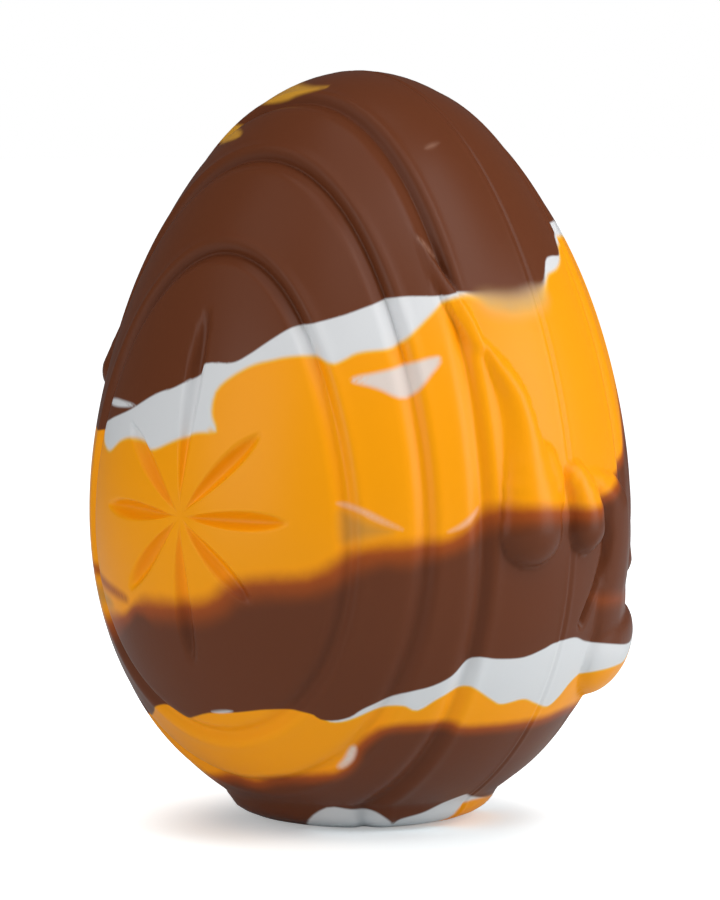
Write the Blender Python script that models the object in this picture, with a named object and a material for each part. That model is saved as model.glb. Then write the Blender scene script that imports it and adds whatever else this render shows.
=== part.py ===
"""A hollow-moulded chocolate egg standing on its own low round foot.

The egg is cast in two halves that meet in the XZ plane, with +Z up and the foot's flat underside at Z = 0.
Each half carries three nested steps that repeat the egg's outline, and a cut star of eight rays at -Y and +Y.
Poured drips run down over both side seams. The whole egg is one solid, and its marbling is colour only.
"""

import math

import bmesh
import bpy
from mathutils import Vector

MM = 0.001

# The egg without its foot, as a turned profile.
EGG_TOP = 179.7 * MM
EGG_BOTTOM = -3.5 * MM
EGG_HALF_WIDTH = 64.4 * MM
POINTEDNESS = 0.165
END_ROUNDING = 0.051
SEAM_CENTRE = (EGG_TOP + EGG_BOTTOM) / 2
HALF_HEIGHT = (EGG_TOP - EGG_BOTTOM) / 2

# The foot, as radius and height: a small flat that rounds up to a short wall, which flares out to meet the egg.
FOOT_PROFILE = (
    (20 * MM, 0), (23.5 * MM, 0.35 * MM), (26.5 * MM, 1.05 * MM), (29 * MM, 2.05 * MM), (30.8 * MM, 3.2 * MM),
    (31.8 * MM, 4.5 * MM), (32.5 * MM, 5.8 * MM), (33.3 * MM, 6.9 * MM), (34.3 * MM, 7.9 * MM),
)
FOOT_SEGMENTS = 64
EGG_FLOOR = 1.5 * MM

# The net of each half: outlines scaled by the sine of an angle from the star, crossed by spokes.
SPOKES = 72
STAR_CENTRE = 78.5 * MM
OUTLINE_DRIFT = 14 * MM
INNER_LOOPS = (4, 9, 14, 19, 24, 29, 33.5)
BETWEEN_LOOPS = (47, 51, 61.5)
OUTER_LOOPS = (76, 82)
STEP_ANGLES = (39, 55, 66.2)
# Around each step: degrees outward from its groove, and height above the egg.
STEP_PROFILE = ((-2, -0.9 * MM), (0, -1.3 * MM), (2.2, 0.3 * MM), (4.2, 0.2 * MM))
# The moulding line along the seam: a low bead on each half, and a fine groove between them.
SEAM_PROFILE = ((88.5, 0.4 * MM), (90, -0.1 * MM))

# The star: angle from +X in the XZ plane, and length from its centre.
RAY_LENGTHS = {0: 27, 45: 27.5, 90: 47.5, 135: 27.5, 180: 27, 225: 26, 270: 34.5, 315: 26}
RAY_HALF_WIDTH = 2.3 * MM
RAY_DEPTH = 1.9 * MM
RAY_START = 0.12
RAY_SWELL = 1.35

# Drips, as stations down the egg: azimuth from -Y in degrees, height, radius, and how far it stands proud.
SEAM_DRIPS = {
    "first_drip": ((61, 139, 1.8, 0.4), (66, 127, 3.6, 1.4), (70.5, 114, 5.0, 2.0),
                   (75, 99, 7.0, 2.6), (78.5, 86, 9.0, 3.8), (79, 75.5, 9.4, 5.0)),
    "second_drip": ((80, 103, 2.6, 0.8), (87, 92, 5.0, 1.8), (93.5, 83, 6.6, 3.4), (96, 75, 7.4, 4.4)),
    "long_drip": ((96, 86, 3.0, 0.8), (105, 81.5, 5.0, 1.8), (112, 75, 7.0, 2.2), (113, 62, 7.0, 1.8),
                  (117, 50, 10.0, 4.0), (119, 42, 12.0, 6.0)),
    "short_drip": ((121, 80, 2.4, 0.3), (127, 71, 3.6, 0.7), (128, 64, 4.6, 1.4)),
}
HIGH_DRIP = ((-66, 141, 1.8, 0.3), (-62, 128, 2.6, 0.7), (-59.5, 117, 3.4, 1.0), (-58.5, 108.6, 5.0, 2.3))
DRIP_SIDES = 10
STEPS_PER_SPAN = 2
CAP_STEPS = 3

CHOCOLATE_BROWN = (0.13, 0.045, 0.025, 1)
CHOCOLATE_ROUGHNESS = 0.42


def clear_scene():
    for item in list(bpy.data.objects):
        bpy.data.objects.remove(item, do_unlink=True)


def make_chocolate():
    material = bpy.data.materials.new("chocolate")
    material.use_nodes = True
    shader = material.node_tree.nodes["Principled BSDF"]
    shader.inputs["Base Color"].default_value = CHOCOLATE_BROWN
    shader.inputs["Roughness"].default_value = CHOCOLATE_ROUGHNESS
    shader.inputs["Metallic"].default_value = 0
    return material


def add_object(name, mesh_builder, material):
    mesh = bpy.data.meshes.new(name)
    mesh_builder.normal_update()
    mesh_builder.to_mesh(mesh)
    mesh_builder.free()
    mesh.materials.append(material)
    mesh.shade_smooth()
    item = bpy.data.objects.new(name, mesh)
    bpy.context.collection.objects.link(item)
    return item


def egg_radius(height):
    """Radius of the turned egg at a height."""
    along = max(-1.0, min(1.0, (height - SEAM_CENTRE) / HALF_HEIGHT))
    shape = 1 - POINTEDNESS * along + END_ROUNDING * along**3
    return EGG_HALF_WIDTH * math.sqrt(1 - along * along) * shape


def egg_point(azimuth, height, offset=0.0):
    """A point on the egg at an azimuth from -Y towards +X, moved out along the egg's normal."""
    rise = 0.5 * MM
    slope = (egg_radius(height + rise) - egg_radius(height - rise)) / (2 * rise)
    angle = math.radians(azimuth)
    outward = Vector((math.sin(angle), -math.cos(angle), -slope)).normalized()
    radius = egg_radius(height)
    return Vector((radius * math.sin(angle), -radius * math.cos(angle), height)) + outward * offset


def outline_reach(direction):
    """Distance from the seam's centre to the egg's outline, along an angle in the XZ plane."""
    near, far = 0.0, EGG_TOP
    for _ in range(40):
        reach = (near + far) / 2
        rise = reach * math.sin(direction)
        inside = abs(rise) < HALF_HEIGHT and reach * math.cos(direction) < egg_radius(SEAM_CENTRE + rise)
        near, far = (reach, far) if inside else (near, reach)
    return near


def loop_centre(scale):
    """Height of the centre of a scaled outline, which drifts down to the star as the outline shrinks."""
    first_step = math.sin(math.radians(STEP_ANGLES[0]))
    lowest = SEAM_CENTRE - OUTLINE_DRIFT * (1 - first_step)
    if scale < first_step:
        return STAR_CENTRE + (lowest - STAR_CENTRE) * scale / first_step
    return SEAM_CENTRE - OUTLINE_DRIFT * (1 - scale)


def star_depth(x, height):
    """Depth of the star's cut at a place in the XZ plane: leaf-shaped rays with a V section."""
    deepest = 0.0
    for angle, length in RAY_LENGTHS.items():
        direction = math.radians(angle)
        along = x * math.cos(direction) + (height - STAR_CENTRE) * math.sin(direction)
        across = abs((height - STAR_CENTRE) * math.cos(direction) - x * math.sin(direction))
        part = along / (length * MM)
        if RAY_START < part < 1:
            fullness = math.sin(math.pi * ((part - RAY_START) / (1 - RAY_START)) ** RAY_SWELL)
            half_width = RAY_HALF_WIDTH * math.sqrt(fullness)
            deepest = max(deepest, RAY_DEPTH * fullness * max(0.0, 1 - across / half_width))
    return deepest


def half_loops():
    """Each loop of a half, as its angle from the star and its height above the egg."""
    loops = [(angle, 0.0) for angle in INNER_LOOPS + BETWEEN_LOOPS + OUTER_LOOPS]
    loops += SEAM_PROFILE
    for step in STEP_ANGLES:
        loops += [(step + outward, height) for outward, height in STEP_PROFILE]
    return sorted(loops)


def half_point(angle, direction, relief):
    """A point of the front half, on the outline scaled for this angle."""
    scale = math.sin(math.radians(angle))
    reach = scale * outline_reach(direction)
    x = reach * math.cos(direction)
    height = loop_centre(scale) + reach * math.sin(direction)
    azimuth = math.degrees(math.asin(max(-1.0, min(1.0, x / max(egg_radius(height), 1e-9)))))
    if angle == 90:
        azimuth = math.copysign(90, x) if abs(x) > 1e-9 else 0
    point = egg_point(azimuth, height, relief - star_depth(x, height))
    point.z = max(point.z, EGG_FLOOR)
    if angle == 90:
        point.y = 0
    return point


def make_front_half(shape):
    """The half at -Y with x >= 0, as loops of vertices from the star out to the seam."""
    directions = [-90 + step * 360 / SPOKES for step in range(SPOKES // 2 + 1)]
    centre = shape.verts.new(egg_point(0, STAR_CENTRE))
    inner = [centre] * len(directions)
    for angle, relief in half_loops():
        outer = []
        for direction in directions:
            point = half_point(angle, math.radians(direction), relief)
            if abs(direction) == 90:
                point.x = 0
            outer.append(shape.verts.new(point))
        for side in range(len(directions) - 1):
            corners = (inner[side], inner[side + 1], outer[side + 1], outer[side])
            shape.faces.new(list(dict.fromkeys(corners)))
        inner = outer


def make_egg(material):
    shape = bmesh.new()
    make_front_half(shape)
    bmesh.ops.reverse_faces(shape, faces=shape.faces)
    egg = add_object("egg", shape, material)
    mirror = egg.modifiers.new("halves", "MIRROR")
    mirror.use_axis = (True, True, False)
    mirror.merge_threshold = 0.02 * MM
    return egg


def make_foot(material):
    """The foot as a spun profile, from the middle of the underside round to the middle of its top."""
    profile = [(0, 0), *FOOT_PROFILE, (0, FOOT_PROFILE[-1][1])]
    shape = bmesh.new()
    verts = [shape.verts.new((radius, 0, height)) for radius, height in profile]
    edges = [shape.edges.new(pair) for pair in zip(verts, verts[1:])]
    bmesh.ops.spin(
        shape, geom=verts + edges, cent=(0, 0, 0), axis=(0, 0, 1), angle=math.tau,
        steps=FOOT_SEGMENTS, use_merge=True,
    )
    bmesh.ops.remove_doubles(shape, verts=shape.verts, dist=0.01 * MM)
    bmesh.ops.recalc_face_normals(shape, faces=shape.faces)
    return add_object("foot_tool", shape, material)


def drip_stations(path):
    """Centre and radius along a drip, with a smooth run between the path's own stations."""
    stations = []
    for first, second in zip(path, path[1:]):
        for step in range(STEPS_PER_SPAN):
            part = step / STEPS_PER_SPAN
            stations.append([a + (b - a) * part for a, b in zip(first, second)])
    stations.append(path[-1])
    return [
        (egg_point(azimuth, height * MM, (proud - radius) * MM), radius * MM)
        for azimuth, height, radius, proud in stations
    ]


def cap_stations(centre, radius, onward):
    """Stations that round off a drip's end as a ball."""
    turns = [math.radians(90 * step / CAP_STEPS) for step in range(1, CAP_STEPS)]
    return [(centre + onward * radius * math.sin(turn), radius * math.cos(turn)) for turn in turns]


def make_drip(name, path, material):
    """A tapering tube laid along the egg, closed by a ball at each end."""
    stations = drip_stations(path)
    start = (stations[0][0] - stations[1][0]).normalized()
    finish = (stations[-1][0] - stations[-2][0]).normalized()
    tips = (stations[0][0] + start * stations[0][1], stations[-1][0] + finish * stations[-1][1])
    stations = cap_stations(*stations[0], start)[::-1] + stations + cap_stations(*stations[-1], finish)
    shape = bmesh.new()
    rings = []
    for place, (centre, radius) in enumerate(stations):
        before = stations[max(place - 1, 0)][0]
        after = stations[min(place + 1, len(stations) - 1)][0]
        along = (after - before).normalized()
        outward = Vector((centre.x, centre.y, 0)).cross(along).normalized()
        across = along.cross(outward)
        turns = [math.tau * side / DRIP_SIDES for side in range(DRIP_SIDES)]
        rings.append([
            shape.verts.new(centre + radius * (outward * math.cos(turn) + across * math.sin(turn)))
            for turn in turns
        ])
    ends = [shape.verts.new(tip) for tip in tips]
    for lower, upper in zip(rings, rings[1:]):
        for side in range(DRIP_SIDES):
            beside = (side + 1) % DRIP_SIDES
            shape.faces.new((lower[side], lower[beside], upper[beside], upper[side]))
    for side in range(DRIP_SIDES):
        beside = (side + 1) % DRIP_SIDES
        shape.faces.new((ends[0], rings[0][beside], rings[0][side]))
        shape.faces.new((ends[1], rings[-1][side], rings[-1][beside]))
    bmesh.ops.recalc_face_normals(shape, faces=shape.faces)
    return add_object(name, shape, material)


def repeat_at_other_seam(drip):
    mirror = drip.modifiers.new("other_seam", "MIRROR")
    mirror.use_mirror_merge = False


def join_to(egg, tool):
    """Unites a helper solid with the egg and leaves the helper out of the render."""
    tool.hide_render = True
    tool.display_type = "WIRE"
    union = egg.modifiers.new(tool.name, "BOOLEAN")
    union.operation = "UNION"
    union.solver = "EXACT"
    union.object = tool


def main():
    clear_scene()
    chocolate = make_chocolate()
    egg = make_egg(chocolate)
    join_to(egg, make_foot(chocolate))
    for name, path in SEAM_DRIPS.items():
        drip = make_drip(name, path, chocolate)
        repeat_at_other_seam(drip)
        join_to(egg, drip)
    join_to(egg, make_drip("high_drip", HIGH_DRIP, chocolate))


main()
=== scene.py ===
import math

import bpy
import numpy as np
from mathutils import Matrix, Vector


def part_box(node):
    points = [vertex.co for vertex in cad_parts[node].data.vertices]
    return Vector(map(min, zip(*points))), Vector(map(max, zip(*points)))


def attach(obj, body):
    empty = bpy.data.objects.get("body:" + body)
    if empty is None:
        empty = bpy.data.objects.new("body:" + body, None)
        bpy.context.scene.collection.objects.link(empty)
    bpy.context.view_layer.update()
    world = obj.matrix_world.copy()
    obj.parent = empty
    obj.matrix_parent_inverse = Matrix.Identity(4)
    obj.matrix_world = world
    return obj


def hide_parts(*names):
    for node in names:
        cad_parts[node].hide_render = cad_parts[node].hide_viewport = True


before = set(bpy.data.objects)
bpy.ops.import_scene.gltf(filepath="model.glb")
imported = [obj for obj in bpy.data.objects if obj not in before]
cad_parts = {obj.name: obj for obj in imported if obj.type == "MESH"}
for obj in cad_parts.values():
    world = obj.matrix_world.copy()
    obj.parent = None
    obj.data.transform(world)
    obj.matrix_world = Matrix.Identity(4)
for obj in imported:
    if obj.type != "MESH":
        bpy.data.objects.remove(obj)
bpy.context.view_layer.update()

mm = 0.001  # every size below is in millimetres and every angle in degrees
tiny = 1e-6
crestHeight = 0.36  # how far the seam's bead lifts the top of the egg


egg = {
    "node": "egg",
    "bottom": -3.5,  # where the egg's point would be, under its foot
    "halfWidth": 64.4,
    "pointedness": 0.165,
    "endRounding": 0.051,
    "spokes": 360,
    "loopsPerZone": (40, 25, 22, 40),  # star to first step, between the steps, last step to seam
    "crowding": (0.65, 0.62, 0.6, 0.3),  # how closely loops gather beside the steps
    "sideCrowding": 0.35,  # how closely spokes gather towards the seams
    "starHeight": 78.5,
    "poleRadius": 0.5,  # nearer the axis than this, outward is straight up or down
}
egg["top"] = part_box(egg["node"])[1][2] / mm - crestHeight

# the steps between the layers: half-width, bottom and top of each one's outline, seen from the
# star side, how far it is rounded, and how wide its inner slope is
steps = (
    {"outline": (40.5, 25.0, 139.6), "rounding": 0.12, "slope": 3.4},
    {"outline": (53.1, 11.7, 161.1), "rounding": 0.18, "slope": 3.9},
    {"outline": (60.1, 1.3, 174.1), "rounding": 0.4, "slope": 4.4},
)
stepRelief = {
    "depth": 2.0,
    "wall": 2.7,  # the climb to the outer layer
    "wallCurve": 1.7,
    "lip": 0.35,
    "lipRun": 2.2,
    "crevice": 0.55,
    "creviceWidth": 0.3,
    "softRounding": 0.8,  # the steps are cast softly low down and crisply high up
    "softBelow": 98,
    "crispAbove": 130,
    "sampleReach": 14,
    "sampleSpacing": 0.04,
    "blurReach": 3.6,
}
seamRelief = {"groove": 0.26, "grooveWidth": 0.5, "bead": 0.1, "beadAt": 1.15, "beadWidth": 0.6}

star = {
    "rays": {0: 27, 45: 27.5, 90: 47.5, 135: 27.5, 180: 27, 225: 26, 270: 34.5, 315: 26},
    "halfWidth": 2.3,
    "depth": 2.4,
    "middle": 0.5,  # depth of the shallow dish where the rays meet
    "middleWidth": 3.0,
    "start": 0.1,
    "swell": 1.4,
}

# flows over a seam from top to bottom, as (azimuth, height, reach to the left, to the right, rise,
# and where the left flank is gentler, its shape)
seamFlows = {
    "sheet": ((57.5, 143, 1.0, 0.5, 0.3), (61, 136.5, 2.4, 0.8, 0.8), (64.5, 130.5, 3.0, 0.9, 1.1),
              (67.5, 124.5, 3.0, 1.0, 1.2), (69.5, 119, 2.6, 1.0, 1.2)),
    "mainFold": ((70.6, 118.5, 0.8, 1.0, 0.8), (71.8, 114.8, 1.6, 2.6, 1.7, 1.0),
                 (73.2, 111.8, 2.4, 3.5, 2.3, 1.3), (74.8, 108.8, 3.4, 3.8, 2.6, 1.5),
                 (76.2, 106, 4.4, 3.8, 2.8, 1.5), (77, 102, 5.0, 3.9, 3.0, 1.5),
                 (77.4, 98.5, 5.4, 4.2, 3.2, 1.4), (77.4, 94.5, 5.6, 5.4, 3.5, 1.2),
                 (77.2, 90, 6.0, 6.8, 4.1, 1.0), (77.2, 85, 6.8, 8.2, 4.7, 0.8),
                 (77.8, 80, 8.0, 8.8, 5.2), (78, 75.6, 8.8, 8.8, 5.3)),
    "apron": ((79.5, 95.5, 2.0, 2.6, 1.6), (81.5, 90.5, 4.0, 5.2, 2.7), (82.5, 86.5, 4.5, 5.6, 2.7),
              (83.5, 82.5, 4.0, 4.4, 1.8)),
    "secondFold": ((91.4, 86.6, 4.0, 4.0, 2.5), (92, 84.4, 4.0, 5.2, 3.2), (93, 81.6, 4.7, 5.7, 3.8),
                   (94.2, 78, 5.6, 5.7, 4.2), (94.4, 74.4, 6.2, 5.7, 4.3)),
    "longFlow": ((97, 85.6, 1.6, 2.4, 0.8), (101, 83.8, 2.8, 3.6, 1.6), (105.5, 81, 4.4, 5.2, 2.3),
                 (108.5, 77, 6.2, 6.6, 2.6), (110, 71, 7.4, 7.4, 2.5), (111, 63, 8.4, 8.2, 2.3),
                 (111, 57, 9.4, 8.4, 2.2), (112.5, 51, 10.0, 9.4, 2.8)),
    "shortFlow": ((120, 82, 2.0, 2.0, 0.1), (126, 72, 2.8, 2.8, 0.15), (128.8, 65.5, 3.0, 3.0, 0.4),
                  (129, 62.2, 3.4, 3.4, 1.1)),
}
loneFlow = ((-66, 141, 1.4, 1.4, 0.3), (-62, 128, 2.2, 2.2, 0.7), (-59.5, 117, 3.0, 3.0, 1.0),
            (-58.6, 112.5, 4.0, 4.0, 1.5), (-58.5, 108.2, 4.9, 4.9, 2.2))
# azimuth, height, reach sideways, reach up and down, rise
flowBulb = (118.5, 42.4, 16.0, 11.2, 5.7)
# the crease between the second fold and the long flow
flowCrease = {
    "route": ((100.4, 77), (102.2, 74.3), (103.2, 70.4), (102.8, 66.4), (101.4, 62.6), (100.2, 59),
              (98.4, 55.2), (97, 51.5)),
    "depth": 2.1,
    "width": 1.05,
}
flowBlend = 0.5  # size of the fillet where two flows meet
flankShape = 0.6  # under 1 is fuller than a parabola, over 1 is gentler
showThrough = 0.2  # share of the steps that still shows through a thick flow

foot = {
    "cutHeight": 7.6,
    "cutTolerance": 0.0001,
    "mergeDistance": 0.002,
    # height and radius of each loop below the cut
    "profile": ((6.9, 33.3), (5.8, 32.5), (4.5, 31.8), (3.2, 30.8), (2.05, 29.0), (1.05, 26.5),
                (0.35, 23.5), (0.0, 20.0)),
}


def eggRadius(height):
    along = (height - (egg["top"] + egg["bottom"]) / 2) / ((egg["top"] - egg["bottom"]) / 2)
    along = np.clip(along, -1, 1)
    return egg["halfWidth"] * np.sqrt(1 - along**2) * (
        1 - egg["pointedness"] * along + egg["endRounding"] * along**3)


def widestRadius():
    heightSamples = 400
    return eggRadius(np.linspace(egg["bottom"], egg["top"], heightSamples)).max()


def outlineReach(direction, halfWidth, bottom, top):
    # distance from the star's centre to a scaled copy of the egg's outline, found by halving
    halvings = 44
    widest = widestRadius()
    tall = egg["top"] - egg["bottom"]
    near = np.zeros_like(direction)
    far = np.full_like(direction, tall)
    for _ in range(halvings):
        reach = (near + far) / 2
        height = egg["starHeight"] + reach * np.sin(direction)
        full = egg["bottom"] + (height - bottom) * tall / (top - bottom)
        inside = (height > bottom) & (height < top)
        inside &= np.abs(reach * np.cos(direction)) * widest / halfWidth < eggRadius(full)
        near = np.where(inside, reach, near)
        far = np.where(inside, far, reach)
    return near


def smoothStep(value):
    value = np.clip(value, 0, 1)
    return value * value * (3 - 2 * value)


def stepSection(step, rounding, crevice):
    # one step's section, as distances outward from its groove and heights
    depth = stepRelief["depth"]
    lip = stepRelief["lip"]
    wallWidth = stepRelief["wall"]
    spacing = stepRelief["sampleSpacing"]
    sample = np.arange(-stepRelief["sampleReach"], stepRelief["sampleReach"], spacing)
    slope = -depth * np.clip(1 + sample / step["slope"], 0, 1)
    wall = np.clip(sample / wallWidth, 0, 1)
    climb = -depth + (depth + lip) * (1 - (1 - wall) ** stepRelief["wallCurve"])
    after = lip * (1 - smoothStep((sample - wallWidth) / stepRelief["lipRun"]))
    section = np.where(sample < 0, slope, np.where(sample < wallWidth, climb, after))
    section -= crevice * np.exp(-((sample / stepRelief["creviceWidth"]) ** 2))
    blurCount = round(stepRelief["blurReach"] / spacing)
    blur = np.exp(-((np.arange(-blurCount, blurCount + 1) * spacing / rounding) ** 2) / 2)
    section = np.convolve(section, blur / blur.sum(), mode="same")
    return sample[blurCount:-blurCount], section[blurCount:-blurCount]


def stepHeight(outward, height, step):
    # relief beside one step
    crispSection = stepSection(step, step["rounding"], stepRelief["crevice"])
    softSection = stepSection(step, stepRelief["softRounding"], 0)
    crisp = np.interp(outward, *crispSection, left=0, right=0)
    soft = np.interp(outward, *softSection, left=0, right=0)
    softBelow = stepRelief["softBelow"]
    share = smoothStep((height - softBelow) / (stepRelief["crispAbove"] - softBelow))
    return soft + (crisp - soft) * share


def starRelief(x, height):
    # the rays and the dish that they meet in, cut below the surface
    up = height - egg["starHeight"]
    deepest = star["middle"] * np.exp(-((np.hypot(x, up) / star["middleWidth"]) ** 2))
    for angle, length in star["rays"].items():
        cosine = math.cos(math.radians(angle))
        sine = math.sin(math.radians(angle))
        along = x * cosine + up * sine
        across = np.abs(up * cosine - x * sine)
        part = np.clip((along / length - star["start"]) / (1 - star["start"]), 0, 1)
        fullness = np.sqrt(np.sin(math.pi * part ** star["swell"]))
        halfWidth = star["halfWidth"] * fullness + tiny
        section = np.clip(1 - (across / halfWidth) ** 2, 0, 1)
        deepest = np.maximum(deepest, star["depth"] * fullness * section)
    return -deepest


def alongRoute(azimuth, height, first, second):
    # how far along a stretch each point is, from 0 to 1, its distance from the stretch, and
    # whether it lies to the right of it
    radius = np.maximum(eggRadius(height), leastRadius)
    aside = np.radians(azimuth - first[0]) * radius
    up = height - first[1]
    run = math.radians(second[0] - first[0]) * radius
    climb = second[1] - first[1]
    part = np.clip((aside * run + up * climb) / (run**2 + climb**2 + tiny), 0, 1)
    aside = aside - part * run
    up = up - part * climb
    onRight = up * run - aside * climb > 0
    return part, np.hypot(aside, up), onRight


def flowHeight(azimuth, height, stations):
    # a rounded run between stations, highest along its route
    best = np.zeros_like(height)
    stations = [(*station, flankShape)[:6] for station in stations]  # where no flank is given
    for first, second in zip(stations, stations[1:]):
        part, off, onRight = alongRoute(azimuth, height, first, second)
        left, right, rise, flank = (first[i] + (second[i] - first[i]) * part for i in (2, 3, 4, 5))
        reach = np.where(onRight, right, left)
        flank = np.where(onRight, flankShape, flank)
        best = np.maximum(best, rise * np.clip(1 - (off / reach) ** 2, 0, 1) ** flank)
    return best


def bulbHeight(azimuth, height):
    centre, level, across, up, rise = flowBulb
    aside = np.radians(azimuth - centre) * eggRadius(height) / across
    above = (height - level) / up
    return rise * np.clip(1 - aside**2 - above**2, 0, 1) ** flankShape


def creaseHeight(azimuth, height):
    deepest = np.zeros_like(height)
    route = flowCrease["route"]
    for first, second in zip(route, route[1:]):
        off = alongRoute(azimuth, height, first, second)[1]
        cut = flowCrease["depth"] * np.exp(-((off / flowCrease["width"]) ** 2))
        deepest = np.maximum(deepest, cut)
    return -deepest


def mergeHeights(first, second):
    # the higher of two reliefs, with a small fillet where both stand proud
    gap = np.clip(flowBlend - np.abs(first - second), 0, None)
    both = np.clip(np.minimum(first, second) / flowBlend, 0, 1)
    return np.maximum(first, second) + both * gap**2 / (4 * flowBlend)


def drapeHeight(azimuth, height):
    total = flowHeight(azimuth, height, loneFlow)
    for stations in seamFlows.values():
        total = mergeHeights(total, flowHeight(np.abs(azimuth), height, stations))
    return mergeHeights(total, bulbHeight(np.abs(azimuth), height))


def spokeDirections():
    turn = np.radians(np.arange(egg["spokes"]) * 360 / egg["spokes"])
    return turn - egg["sideCrowding"] * np.sin(2 * turn) / 2


def zoneParts(count, crowding, towardsBoth):
    part = np.arange(1, count + 1) / count
    if towardsBoth:
        return part - crowding * np.sin(2 * math.pi * part) / (2 * math.pi)
    return part + crowding * np.sin(math.pi * part) / math.pi


def halfPoints():
    # places of one half: for each spoke and loop, x, depth from the seam plane, height,
    # distance outward from each step's groove, and distance from the seam
    sweepSamples = 600
    direction = spokeDirections()
    reaches = [outlineReach(direction, *step["outline"]) for step in steps]
    rim = outlineReach(direction, widestRadius(), egg["bottom"], egg["top"])
    sweep = np.sin(np.linspace(0, math.pi / 2, sweepSamples))
    x = rim[:, None] * sweep * np.cos(direction)[:, None]
    height = egg["starHeight"] + rim[:, None] * sweep * np.sin(direction)[:, None]
    depth = np.sqrt(np.clip(eggRadius(height) ** 2 - x**2, 0, None))
    depth[:, -1] = 0
    run = np.sqrt(np.diff(x) ** 2 + np.diff(height) ** 2 + np.diff(depth) ** 2)
    run = np.concatenate([np.zeros((len(direction), 1)), np.cumsum(run, axis=1)], axis=1)
    loops = 1 + sum(egg["loopsPerZone"])
    placed = np.zeros((len(direction), loops, 3 + len(steps) + 1))
    for spoke in range(len(direction)):
        marks = [0] + [np.interp(reach[spoke], rim[spoke] * sweep, run[spoke]) for reach in reaches]
        marks.append(run[spoke, -1])
        stops = [np.zeros(1)]
        for zone, count in enumerate(egg["loopsPerZone"]):
            parts = zoneParts(count, egg["crowding"][zone], zone > 0)
            stops.append(marks[zone] + (marks[zone + 1] - marks[zone]) * parts)
        stops = np.concatenate(stops)
        reach = np.interp(stops, run[spoke], rim[spoke] * sweep)
        placed[spoke, :, 0] = reach * math.cos(direction[spoke])
        placed[spoke, :, 1] = np.interp(stops, run[spoke], depth[spoke])
        placed[spoke, :, 2] = egg["starHeight"] + reach * math.sin(direction[spoke])
        for number in range(len(steps)):
            placed[spoke, :, 3 + number] = stops - marks[number + 1]
        placed[spoke, :, -1] = marks[-1] - stops
    return placed


def gridPlaces(co):
    # each vertex's place in halfPoints, read from where it is on the turned sphere, and its side
    loops = sum(egg["loopsPerZone"])
    polar = np.arccos(np.clip(-co[:, 1], -1, 1)) * 2 * loops / math.pi
    loop = np.round(polar).astype(int)
    back = loop > loops
    loop = np.where(back, 2 * loops - loop, loop)
    turn = np.degrees(np.arctan2(co[:, 2], co[:, 0]))
    spoke = np.round(turn * egg["spokes"] / 360).astype(int) % egg["spokes"]
    return halfPoints()[spoke, loop], np.where(back, 1.0, -1.0)


def mouldRelief(placed, azimuth):
    # star, steps and seam, with the flows laid over them
    height = placed[:, 2]
    relief = starRelief(placed[:, 0], height)
    for number, step in enumerate(steps):
        relief = relief + stepHeight(placed[:, 3 + number], height, step)
    fromSeam = placed[:, -1]
    fromBead = fromSeam - seamRelief["beadAt"]
    relief -= seamRelief["groove"] * np.exp(-((fromSeam / seamRelief["grooveWidth"]) ** 2))
    relief += seamRelief["bead"] * np.exp(-((fromBead / seamRelief["beadWidth"]) ** 2))
    drape = drapeHeight(azimuth, height)
    covered = np.maximum(relief * np.exp(-drape), relief * showThrough) + drape
    return np.where(drape > 0, covered, relief) + creaseHeight(np.abs(azimuth), height)


def outwardFrom(x, y, height):
    # the direction straight out of the smooth egg
    slopeStep = 0.3
    slope = (eggRadius(height + slopeStep) - eggRadius(height - slopeStep)) / (2 * slopeStep)
    radius = np.hypot(x, y) + tiny
    outward = np.stack([x / radius, y / radius, -slope], axis=1)
    outward /= np.linalg.norm(outward, axis=1)[:, None]
    upright = np.array([0.0, 0, 1]) * np.sign(height - egg["starHeight"])[:, None]
    return np.where(radius[:, None] < egg["poleRadius"], upright, outward)


def shapeEgg(piece):
    # move each vertex of the turned sphere to its place on the moulded egg
    co = np.empty(len(piece.data.vertices) * 3)
    piece.data.vertices.foreach_get("co", co)
    placed, side = gridPlaces(co.reshape(-1, 3))
    x = placed[:, 0]
    y = side * placed[:, 1]
    height = placed[:, 2]
    relief = mouldRelief(placed, np.degrees(np.arctan2(x, -y)))
    place = np.stack([x, y, height], axis=1) + outwardFrom(x, y, height) * relief[:, None]
    piece.data.vertices.foreach_set("co", (place * mm).ravel())
    piece.data.update()


def addFoot():
    # cut the egg level above its point and draw the foot down from the cut edge
    bpy.ops.object.mode_set(mode="EDIT")
    bpy.ops.mesh.select_all(action="SELECT")
    bpy.ops.mesh.bisect(
        plane_co=(0, 0, foot["cutHeight"] * mm), plane_no=(0, 0, 1), clear_inner=True,
        threshold=foot["cutTolerance"] * mm)
    bpy.ops.mesh.select_all(action="DESELECT")
    bpy.ops.mesh.select_mode(type="EDGE")
    bpy.ops.mesh.select_non_manifold(extend=False)
    height = foot["cutHeight"]
    radius = float(eggRadius(height))
    for nextHeight, nextRadius in foot["profile"]:
        bpy.ops.mesh.extrude_region_move(
            TRANSFORM_OT_translate={"value": (0, 0, (nextHeight - height) * mm)})
        scale = nextRadius / radius
        bpy.ops.transform.resize(value=(scale, scale, 1), center_override=(0, 0, 0))
        height = nextHeight
        radius = nextRadius
    bpy.ops.mesh.edge_face_add()
    bpy.ops.mesh.select_all(action="SELECT")
    bpy.ops.mesh.remove_doubles(threshold=foot["mergeDistance"] * mm)
    bpy.ops.mesh.normals_make_consistent(inside=False)
    bpy.ops.object.mode_set(mode="OBJECT")


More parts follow.
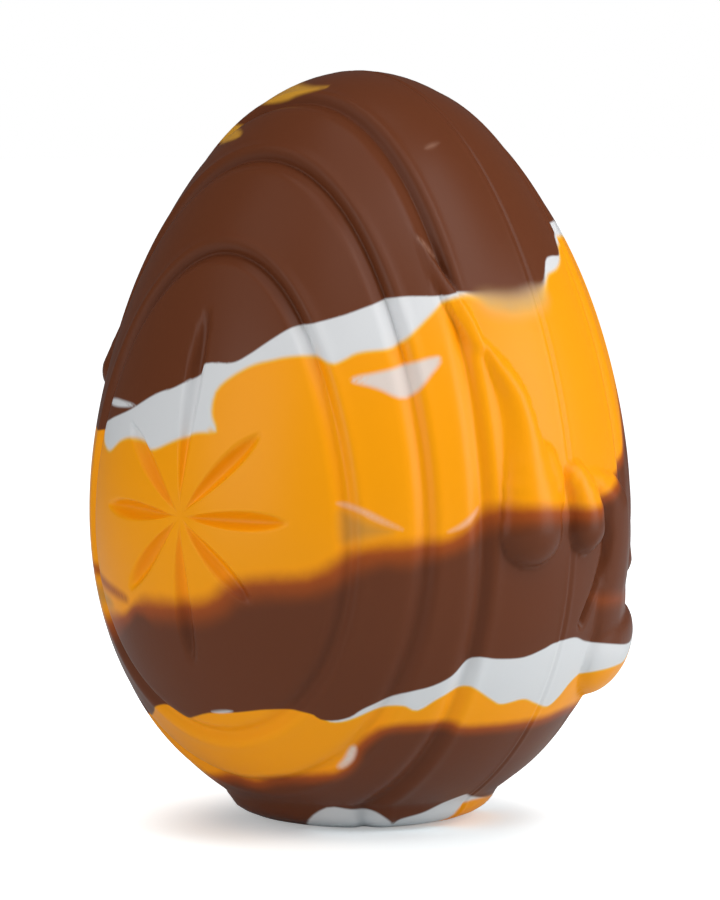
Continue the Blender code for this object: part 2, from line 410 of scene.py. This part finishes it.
def makeEgg():
    bpy.ops.object.select_all(action="DESELECT")
    loops = 2 * sum(egg["loopsPerZone"])
    bpy.ops.mesh.primitive_uv_sphere_add(
        segments=egg["spokes"], ring_count=loops, radius=1, rotation=(math.pi / 2, 0, 0))
    piece = bpy.context.object
    piece.name = "mouldedEgg"
    bpy.ops.object.transform_apply(location=True, rotation=True, scale=True)
    shapeEgg(piece)
    addFoot()
    bpy.ops.object.shade_smooth()
    return piece


# edges round the egg as (azimuth, height) or (azimuth, height, softness), each above the last
edges = {
    "footWhite": {"soft": 0.35, "points": (
        (-50, -3), (-8, -3), (6, -1), (13, 1.4), (15.5, 2.4), (21, 5), (28, 7), (36, 6.4), (45.5, 5.8),
        (51, 4.2), (54.5, 2.6), (56, 2), (58, 3.4), (68.5, 4.9), (76, 6.8), (84.5, 8.7), (88, 8.2),
        (93, 7.4), (105, 6), (114.5, 5.3), (130, 5), (150, 6), (168, 3), (182, -3), (205, -3), (218, 5),
        (232, 7), (246, 4), (258, -3))},
    "lowOrange": {"soft": 2.0, "points": (
        (-50, 10.5), (-31, 11.5), (-18.5, 13), (-10, 14), (0, 13.3), (10, 15), (19, 16), (29, 17),
        (34, 18.2), (37, 20.5), (39, 24.5), (41.5, 27), (46.5, 30), (55, 30.6), (64, 30.4), (69, 29),
        (94, 28.6), (106, 29.5), (120, 29), (135, 27), (150, 26), (170, 22), (190, 20), (210, 14),
        (230, 12), (250, 15), (270, 12), (290, 9.5))},
    "lowWhite": {"soft": 0.5, "points": (
        (-50, 30), (-30, 32), (-10, 33), (10, 35), (26, 36), (31, 32.2), (33, 30.8), (36.5, 31),
        (40, 32.3), (44, 34), (50, 35), (54, 33.5), (59, 36.5), (65, 39), (68, 38), (73, 35),
        (76.5, 33.6), (83, 34.2), (88, 32.6), (94, 31), (97.5, 33), (100, 36), (104, 38), (112, 38.8),
        (117, 39.4), (120.5, 42.5), (124, 47), (128, 51), (134, 53), (140, 50), (150, 36), (165, 35),
        (178, 38), (190, 38), (205, 40), (250, 36), (285, 32))},
    "midBrown": {"soft": 0.3, "points": (
        (-50, 25), (-37, 25.5), (-28.5, 27.5), (-21, 30.5), (-16, 30), (-10, 28.5), (0, 31), (9, 32),
        (19, 33.5), (28, 33), (30.5, 31.5), (34, 31.2), (38, 32.2), (41.5, 34.5), (50, 38),
        (56.5, 39.5), (61.5, 42), (66, 46), (72, 45.3), (79, 45), (85, 46.5), (88, 47.5), (95, 48),
        (100, 46.5), (107, 45), (115, 43.8), (119, 44.6), (122, 47.6), (126, 51.6), (134, 54.6),
        (141, 51), (150, 42), (165, 44), (180, 42), (195, 36), (210, 33), (225, 35), (240, 30),
        (255, 28), (270, 31), (285, 27), (298, 24))},
    "mainOrange": {"soft": 4.0, "points": (
        (-50, 51), (-40, 50), (-31, 52), (-22, 53, 2), (-17, 56, 2), (-12, 58), (-6, 58.5), (3, 59),
        (8, 61), (11.5, 64), (19, 66), (29, 67), (34, 69.5, 4), (38, 72.5, 4), (44, 74, 3.6),
        (50, 74.5), (59, 75.4, 3), (64, 79.2, 3.6), (69, 82.2, 3.8), (76.5, 82, 3.2), (86.5, 80.6, 2.8),
        (93, 80, 2.6), (97, 80.6, 2.4), (101.5, 82.2, 2.2), (106, 84.6, 2), (110, 86.2, 1.6),
        (114.2, 87.6, 1.6), (118.2, 91, 1.8), (120.8, 96.6, 2), (122.8, 103, 2.4), (126, 107.6, 3.4),
        (131, 109.6), (138, 109), (150, 104), (162, 97), (175, 92), (190, 86), (205, 84), (218, 76),
        (230, 72), (245, 68), (258, 60), (270, 62), (285, 55), (298, 50))},
    "highWhite": {"soft": 0.9, "points": (
        (-50, 98), (-38, 97.5), (-34, 97.5), (-32.8, 94.5), (-31, 92), (-27, 91), (-22, 94), (-17, 95),
        (-10, 93), (-3.5, 95.5), (3, 98), (8.2, 98.8), (6.8, 102), (6.5, 104.5), (7, 108), (10, 111),
        (15, 114), (20, 115.5), (25, 116.5), (30, 116.5), (34.6, 115), (40, 117.5), (48, 118.5),
        (53, 122), (58, 126), (61.5, 128.6), (66, 129.8, 1.2), (70, 130, 2.4), (76, 129.2, 5),
        (85, 128.4, 6), (92, 129.6, 5), (96, 131, 1.6), (99, 133), (105, 134), (110, 136), (113, 139),
        (119, 140), (125, 140.5), (136, 139), (150, 133), (165, 126), (180, 119), (195, 117),
        (205, 112), (215, 103), (228, 101), (240, 97), (252, 100), (265, 98), (278, 98), (292, 99))},
    "topBrown": {"soft": 0.35, "points": (
        (-50, 95), (-38.5, 94.5), (-33, 97), (-29, 98.5), (-20, 101.5), (-11, 106), (-5, 108), (0, 111),
        (3, 114), (10, 114.5), (14, 116.5), (19, 120), (24, 123), (29, 124), (36.5, 126), (44, 128.5),
        (50, 130), (61, 130), (66, 130.8), (70, 130.2, 1), (75, 129, 2.6), (82, 128, 3.6),
        (90, 129.4, 3.4), (95, 131.2, 1), (98, 134), (101, 136.5), (105, 137), (110, 136.8), (112, 138),
        (114, 141.5), (119, 143), (125, 144), (136, 143), (150, 139), (165, 134), (180, 128),
        (195, 126), (210, 119), (225, 115), (240, 108), (252, 107), (265, 101), (278, 98), (292, 95))},
}

# small shapes inside the bands, each a closed outline
patches = {
    "pinkPatch": {"soft": 1.1, "shapes": (
        ((38.6, 111.5), (46, 113.2), (58.4, 116.2), (55.6, 112), (50.5, 107.4), (44, 109.8)),
        ((34, 18.8), (35.8, 19.2), (38, 21), (39, 23.4), (38.4, 24.2), (37.4, 23.2), (36, 20.8)))},
    "whitePatch": {"soft": 0.5, "shapes": (
        ((-31, 103), (-25, 103.2), (-18, 102.6), (-25, 101.6), (-31, 101.6)),
        ((1, 31.5), (5, 32.2), (8, 32.2), (4, 31.4)),
        ((150, 73.6), (154, 77), (159, 77.6), (164, 80.4), (170, 79.6), (173, 76.6), (168, 75.6),
         (163, 72.6), (157, 72)),
        ((224, 60.4), (230, 61), (234, 64), (240, 63.6), (243, 60.4), (248, 59), (244, 57.2),
         (236, 57.8), (230, 56)))},
    "dullPatch": {"soft": 0.7, "shapes": (
        ((-62, 172.4), (-40, 172), (-22, 173), (-12, 174.4), (10, 176.5), (-8, 176.4), (-30, 176.6),
         (-62, 176.4)),
        ((-62, 163), (-45, 162.4), (-33, 163.4), (-24, 165), (-35, 166.2), (-62, 166.6)))},
    "orangePatch": {"soft": 0.6, "shapes": (
        ((60, -0.6), (62, 0.3), (78, 0.6), (86, 1.4), (87, 3.4), (89, 5.8), (97, 6.3), (111.5, 5.6),
         (130, 4), (130, -0.6)),
        ((194, 148.6), (200, 151.6), (207, 151), (212, 154), (222, 154.4), (229, 151.6), (221, 149.6),
         (215, 146.6), (204, 147.4)))},
    "brownPatch": {"soft": 0.6, "shapes": (
        ((-42, 100.8), (-34, 101), (-24, 101), (-34, 99.6)),)},
    "rustPatch": {"soft": 1.5, "shapes": (
        ((-46, 63.2), (-37, 61.8), (-29, 59.6), (-20, 57.6), (-20, 56), (-29, 57.4), (-37, 59.4),
         (-46, 61)),)},
    # a painted highlight: a soft, lighter reddish band along the top of the low bulb
    "paintedHighlightPatch": {"soft": 1.6, "shapes": (
        ((100, 58), (108, 57.6), (118, 57), (128, 56.6), (128, 53.2), (118, 53.2), (108, 53.4),
         (102, 54)),)},
    "ochrePatch": {"soft": 1.8, "shapes": (
        ((-44, 58), (-36, 57.4), (-29, 56), (-28, 53.4), (-36, 52.6), (-44, 53)),
        ((36.2, 81.6), (40, 80.6), (44, 78.6), (47, 76.8), (44, 75.6), (40, 74.4), (37, 74),
         (36, 77)))},
    "tanPatch": {"soft": 3.2, "shapes": (
        ((72, 129.6), (84, 129), (94, 129.6), (93, 126.6), (84, 125), (74, 126)),)},
    "blushPatch": {"soft": 0.8, "shapes": (
        ((35.6, 83.4), (38, 83.2), (41.5, 81.8), (45.5, 79.5), (49, 77.2), (44, 79.1), (40.4, 81.2),
         (37.4, 82.3)),
        ((58.4, 76.4), (61, 77.9), (63.4, 79.8), (65.6, 81.6), (64.6, 79.7), (61.8, 77.3)))},
    # two lighter strokes on the brown, one where the drape starts and one high on the crown
    "paleMarkPatch": {"soft": 0.7, "shapes": (
        ((56.6, 143.6), (59.4, 141.8), (62.8, 137.8), (60.4, 139), (57.6, 141.8)),
        ((67.6, 162.9), (71.6, 164), (76.6, 164.6), (71.8, 163.2)))},
}
fieldLimit = 4.0  # fields are cut off this many softnesses from an edge
leastMargin = 2.5  # how far from an edge its field is worked out at least
marginPerSoftness = 2.5
leastRadius = 8  # the egg counts as no thinner than this near its ends
wrapLimit = 230  # edges go on past the back of the egg as far as this azimuth
curveSteps = 4


def smoothCurve(points, closed):
    # a curve through the given points, as short straight stretches
    points = np.array(points, float)
    count = len(points)
    curve = []
    for i in range(count if closed else count - 1):
        around = [(i - 1) % count, i, (i + 1) % count, (i + 2) % count]
        if not closed:
            around = [max(i - 1, 0), i, i + 1, min(i + 2, count - 1)]
        before, start, end, after = points[around]
        for step in range(curveSteps):
            t = step / curveSteps
            bend = 2 * before - 5 * start + 4 * end - after
            twist = 3 * start - before - 3 * end + after
            curve.append(start + ((end - before) * t + bend * t**2 + twist * t**3) / 2)
    if not closed:
        curve.append(points[-1])
    return np.array(curve)


def curveField(azimuth, height, curve, closed):
    # signed distance in units of the local softness: positive inside an outline or above an edge
    order = np.argsort(azimuth)
    azimuth = azimuth[order]
    height = height[order]
    ends = np.roll(curve, -1, axis=0) if closed else curve[1:]
    starts = curve if closed else curve[:-1]
    nearest = np.full(len(height), np.inf)
    soft = np.ones(len(height))
    above = np.zeros(len(height), bool)
    for first, second in zip(starts, ends):
        left = min(first[0], second[0])
        right = max(first[0], second[0])
        margin = max(leastMargin, marginPerSoftness * max(first[2], second[2]))
        levels = np.array([first[1] - margin, first[1] + margin, second[1] + margin])
        margin = margin / math.radians(max(eggRadius(levels).min(), leastRadius))
        near = slice(*np.searchsorted(azimuth, (left - margin, right + margin)))
        part, off, _ = alongRoute(azimuth[near], height[near], first, second)
        closer = off < nearest[near]
        nearest[near] = np.where(closer, off, nearest[near])
        soft[near] = np.where(closer, first[2] + (second[2] - first[2]) * part, soft[near])
        if left < right:
            between = slice(*np.searchsorted(azimuth, (left, right)))
            steepness = (second[1] - first[1]) / (second[0] - first[0])
            above[between] ^= first[1] + steepness * (azimuth[between] - first[0]) < height[between]
    field = np.empty(len(height))
    field[order] = np.where(above, nearest, -nearest) / soft
    return field


def edgeField(azimuth, height, edge):
    points = [(*point, edge["soft"])[:3] for point in edge["points"]]  # where no softness is given
    around = [(point[0] + turn, *point[1:]) for turn in (-360, 0, 360) for point in points]
    around = [point for point in around if abs(point[0]) < wrapLimit]
    return curveField(azimuth, height, smoothCurve(around, False), False)


def patchField(azimuth, height, patch):
    best = np.full(len(height), -fieldLimit)
    for shape in patch["shapes"]:
        curve = smoothCurve([(*point, patch["soft"]) for point in shape], True)
        for turn in (0, 360):
            best = np.maximum(best, curveField(azimuth + turn, height, curve, True))
    return best


def storeField(mesh, name, values):
    layer = mesh.attributes.new(name=name, type="FLOAT", domain="POINT")
    layer.data.foreach_set("value", np.clip(values, -fieldLimit, fieldLimit).astype(np.float32))


def paintFields(piece):
    mesh = piece.data
    co = np.empty(len(mesh.vertices) * 3)
    mesh.vertices.foreach_get("co", co)
    co = co.reshape(-1, 3) / mm
    azimuth = np.degrees(np.arctan2(co[:, 0], -co[:, 1]))
    height = co[:, 2]
    for name, edge in edges.items():
        storeField(mesh, name, edgeField(azimuth, height, edge))
    for name, patch in patches.items():
        storeField(mesh, name, patchField(azimuth, height, patch))


chocolate = {
    "slot": "chocolate",
    "brown": (0.130, 0.035, 0.0125),
    "orange": (0.97, 0.345, 0.002),
    "white": (0.70, 0.70, 0.71),
    "pink": (0.74, 0.63, 0.57),  # thin white over orange
    "blush": (0.87, 0.44, 0.24),
    "ochre": (0.63, 0.265, 0.035),
    "tan": (0.62, 0.36, 0.13),
    "dull": (0.62, 0.30, 0.03),
    "paleMark": (0.36, 0.19, 0.13),
    # also laid over the brown on top of the low bulb as a painted highlight
    "rustAndHighlight": (0.40, 0.076, 0.008),  # thin orange over brown
    "amber": (0.90, 0.46, 0.04),  # thin orange over white
    "roughness": 0.34,
    "gloss": 0.15,
    "grainScale": 900,
    "grainDetail": 4,
    "grainBump": 0.02,
    "grainDepth": 1,
    "rippleScale": 260,
    "rippleDetail": 3,
    "ripple": 0.12,  # how far ripples push an edge to either side, in softnesses
}
# each colour covers what lies below an edge or inside a patch, later ones over earlier ones:
# the field's name, the colour, where it begins to thin out and where it ends or is full
bands = (
    ("footWhite", "brown", -1, 1),
    ("lowOrange", "rustAndHighlight", -1.9, 0),
    ("lowOrange", "orange", -0.75, 0.55),
    ("lowWhite", "amber", -1, 0),
    ("lowWhite", "white", -0.4, 1),
    ("midBrown", "brown", -1, 1),
    ("mainOrange", "rustAndHighlight", -2.1, 0),
    ("mainOrange", "orange", -0.75, 0.55),
    ("highWhite", "amber", -1, 0),
    ("highWhite", "white", -0.5, 1),
    ("topBrown", "brown", -1, 1),
    ("orangePatch", "orange", -1, 1),
    ("dullPatch", "dull", -1, 1),
    ("brownPatch", "brown", -1, 1),
    ("whitePatch", "white", -1, 1),
    ("pinkPatch", "pink", -1, 0.6),
    ("ochrePatch", "ochre", -1, 1.5),
    ("rustPatch", "rustAndHighlight", -1, 1),
    # the painted highlight along the top of the low bulb
    ("paintedHighlightPatch", "rustAndHighlight", -1, 4.5),
    ("tanPatch", "tan", -1, 1.6),
    ("blushPatch", "blush", -1, 1),
    ("paleMarkPatch", "paleMark", -1, 2),
)


def addNode(tree, kind, x, y, **settings):
    node = tree.nodes.new(kind)
    node.location = (x, y)
    for name, value in settings.items():
        setattr(node, name, value)
    return node


def edgeFactor(tree, name, y, low, high, wobble):
    # 0 below an edge and 1 above it, over the edge's softness
    field = addNode(tree, "ShaderNodeAttribute", -1500, y, attribute_name=name)
    added = addNode(tree, "ShaderNodeMath", -1320, y, operation="ADD")
    tree.links.new(field.outputs["Fac"], added.inputs[0])
    tree.links.new(wobble, added.inputs[1])
    ramp = addNode(tree, "ShaderNodeMapRange", -1140, y, interpolation_type="SMOOTHSTEP")
    ramp.inputs["From Min"].default_value = low
    ramp.inputs["From Max"].default_value = high
    tree.links.new(added.outputs[0], ramp.inputs["Value"])
    return ramp.outputs["Result"]


def mixColour(tree, factor, below, above, x, y):
    mix = addNode(tree, "ShaderNodeMix", x, y, data_type="RGBA")
    tree.links.new(factor, mix.inputs["Factor"])
    for socket, colour in ((mix.inputs[6], below), (mix.inputs[7], above)):
        if isinstance(colour, tuple):
            socket.default_value = (*colour, 1)
        else:
            tree.links.new(colour, socket)
    return mix.outputs[2]


def edgeRipple(tree, place):
    # small ripples that keep the edges of the marbling from being too even
    ripple = addNode(tree, "ShaderNodeTexNoise", -1900, 0)
    ripple.inputs["Scale"].default_value = chocolate["rippleScale"]
    ripple.inputs["Detail"].default_value = chocolate["rippleDetail"]
    tree.links.new(place, ripple.inputs["Vector"])
    wobble = addNode(tree, "ShaderNodeMath", -1700, 0, operation="MULTIPLY_ADD")
    tree.links.new(ripple.outputs["Fac"], wobble.inputs[0])
    wobble.inputs[1].default_value = 2 * chocolate["ripple"]
    wobble.inputs[2].default_value = -chocolate["ripple"]
    return wobble.outputs[0]


def marbling(tree, wobble):
    colour = chocolate["white"]
    for number, (name, cover, low, high) in enumerate(bands):
        y = -260 * number
        factor = edgeFactor(tree, name, y, low, high, wobble)
        colour = mixColour(tree, factor, colour, chocolate[cover], -900 + 60 * number, y)
    return colour


def grainNormal(tree, place):
    grain = addNode(tree, "ShaderNodeTexNoise", -600, -900)
    grain.inputs["Scale"].default_value = chocolate["grainScale"]
    grain.inputs["Detail"].default_value = chocolate["grainDetail"]
    tree.links.new(place, grain.inputs["Vector"])
    bump = addNode(tree, "ShaderNodeBump", -300, -900)
    bump.inputs["Strength"].default_value = chocolate["grainBump"]
    bump.inputs["Distance"].default_value = chocolate["grainDepth"] * mm
    tree.links.new(grain.outputs["Fac"], bump.inputs["Height"])
    return bump.outputs["Normal"]


def makeChocolate():
    material = bpy.data.materials.new("marbledChocolate")
    material.use_nodes = True
    tree = material.node_tree
    shader = tree.nodes["Principled BSDF"]
    place = addNode(tree, "ShaderNodeTexCoord", -2100, 0).outputs["Object"]
    tree.links.new(marbling(tree, edgeRipple(tree, place)), shader.inputs["Base Color"])
    tree.links.new(grainNormal(tree, place), shader.inputs["Normal"])
    shader.inputs["Roughness"].default_value = chocolate["roughness"]
    shader.inputs["Specular IOR Level"].default_value = chocolate["gloss"]
    return material


studio = {
    "target": (0, 0, 88.4),
    "azimuth": 40.3,
    "elevation": 6.5,
    "distance": 1400,
    "lens": 232.4,
    "sensorWidth": 36,
    "clipStart": 50,
    "floorSize": 5000,
    "floorSides": 96,
    "floorRoughness": 0.9,
    "floorColour": (0.85, 0.93, 0.96),
    # the floor glows white away from the egg and glows less in a disc around a point just ahead of it,
    # a painted shadow laid over the real soft shadow
    "floorGlow": 0.34,
    "glowFrom": 30,
    "glowTo": 76,
    "paintedShadowAhead": 24,  # how far in front of the egg the shadow's middle lies
    "worldStrength": 0.1,
    # soft boxes as azimuth, elevation and power
    "lights": {
        "rightLow": (120, 12, 4.7),
        "rightHigh": (100, 48, 3.8),
        "frontHigh": (40, 50, 1.9),
        "leftLow": (-10, 12, 2.8),
        "leftHigh": (-28, 45, 0.9),
        "overhead": (40, 85, 1.2),
    },
    "lightSize": 600,
    "lightDistance": 1000,
}


def aroundEgg(azimuth, elevation, distance):
    # a place at this distance from the middle of the egg
    turn = math.radians(azimuth)
    tilt = math.radians(elevation)
    out = Vector((math.sin(turn) * math.cos(tilt), -math.cos(turn) * math.cos(tilt), math.sin(tilt)))
    return (Vector(studio["target"]) + out * distance) * mm


def aimAtEgg(thing):
    toEgg = Vector(studio["target"]) * mm - thing.location
    thing.rotation_euler = toEgg.to_track_quat("-Z", "Y").to_euler()


def makeCamera():
    place = aroundEgg(studio["azimuth"], studio["elevation"], studio["distance"])
    bpy.ops.object.camera_add(location=place)
    camera = bpy.context.object
    aimAtEgg(camera)
    camera.data.lens = studio["lens"]
    camera.data.sensor_width = studio["sensorWidth"]
    camera.data.clip_start = studio["clipStart"] * mm
    bpy.context.scene.camera = camera


def makeLights():
    for name, (azimuth, elevation, power) in studio["lights"].items():
        bpy.ops.object.light_add(
            type="AREA", location=aroundEgg(azimuth, elevation, studio["lightDistance"]))
        light = bpy.context.object
        light.name = name
        light.data.size = studio["lightSize"] * mm
        light.data.energy = power
        aimAtEgg(light)


def makeWorld():
    # plain white behind the egg, but only a little light from it
    world = bpy.data.worlds.new("paleStudio")
    world.use_nodes = True
    tree = world.node_tree
    background = tree.nodes["Background"]
    background.inputs["Color"].default_value = (1, 1, 1, 1)
    rays = addNode(tree, "ShaderNodeLightPath", -600, 0)
    strength = addNode(tree, "ShaderNodeMapRange", -300, 0)
    strength.inputs["To Min"].default_value = studio["worldStrength"]
    tree.links.new(rays.outputs["Is Camera Ray"], strength.inputs["Value"])
    tree.links.new(strength.outputs["Result"], background.inputs["Strength"])
    bpy.context.scene.world = world
    bpy.context.scene.view_settings.view_transform = "Standard"


def floorGlow(tree):
    # how brightly the floor glows to the camera: fully away from the egg, less under it, which paints a
    # shadow there
    place = addNode(tree, "ShaderNodeTexCoord", -900, 0)
    away = addNode(tree, "ShaderNodeVectorMath", -700, 0, operation="DISTANCE")
    tree.links.new(place.outputs["Object"], away.inputs[0])
    facing = math.radians(studio["azimuth"])
    # the middle of the painted shadow lies this far ahead of the egg
    ahead = studio["paintedShadowAhead"] * mm
    away.inputs[1].default_value = (math.sin(facing) * ahead, -math.cos(facing) * ahead, 0)
    glow = addNode(tree, "ShaderNodeMapRange", -500, 0, interpolation_type="SMOOTHSTEP")
    glow.inputs["From Min"].default_value = studio["glowFrom"] * mm
    glow.inputs["From Max"].default_value = studio["glowTo"] * mm
    glow.inputs["To Min"].default_value = studio["floorGlow"]
    tree.links.new(away.outputs["Value"], glow.inputs["Value"])
    rays = addNode(tree, "ShaderNodeLightPath", -500, -300)
    seen = addNode(tree, "ShaderNodeMath", -300, 0, operation="MULTIPLY")
    tree.links.new(glow.outputs["Result"], seen.inputs[0])
    tree.links.new(rays.outputs["Is Camera Ray"], seen.inputs[1])
    return seen.outputs[0]


def makeFloor():
    # a level floor that fades into the white beyond it
    bpy.ops.object.select_all(action="DESELECT")
    bpy.ops.mesh.primitive_circle_add(
        vertices=studio["floorSides"], radius=studio["floorSize"] / 2 * mm, fill_type="NGON")
    floor = bpy.context.object
    floor.name = "paleFloor"
    material = bpy.data.materials.new("paleFloor")
    material.use_nodes = True
    tree = material.node_tree
    shader = tree.nodes["Principled BSDF"]
    shader.inputs["Base Color"].default_value = (*studio["floorColour"], 1)
    shader.inputs["Roughness"].default_value = studio["floorRoughness"]
    shader.inputs["Specular IOR Level"].default_value = 0
    shader.inputs["Emission Color"].default_value = (1, 1, 1, 1)
    tree.links.new(floorGlow(tree), shader.inputs["Emission Strength"])
    floor.data.materials.append(material)


makeCamera()
makeLights()
makeWorld()
makeFloor()
print("studio ready")
marbledEgg = makeEgg()
print("egg shaped:", len(marbledEgg.data.polygons), "faces")
paintFields(marbledEgg)
marbledEgg.data.materials.append(makeChocolate())
print("egg marbled")
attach(marbledEgg, "root")
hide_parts(egg["node"])
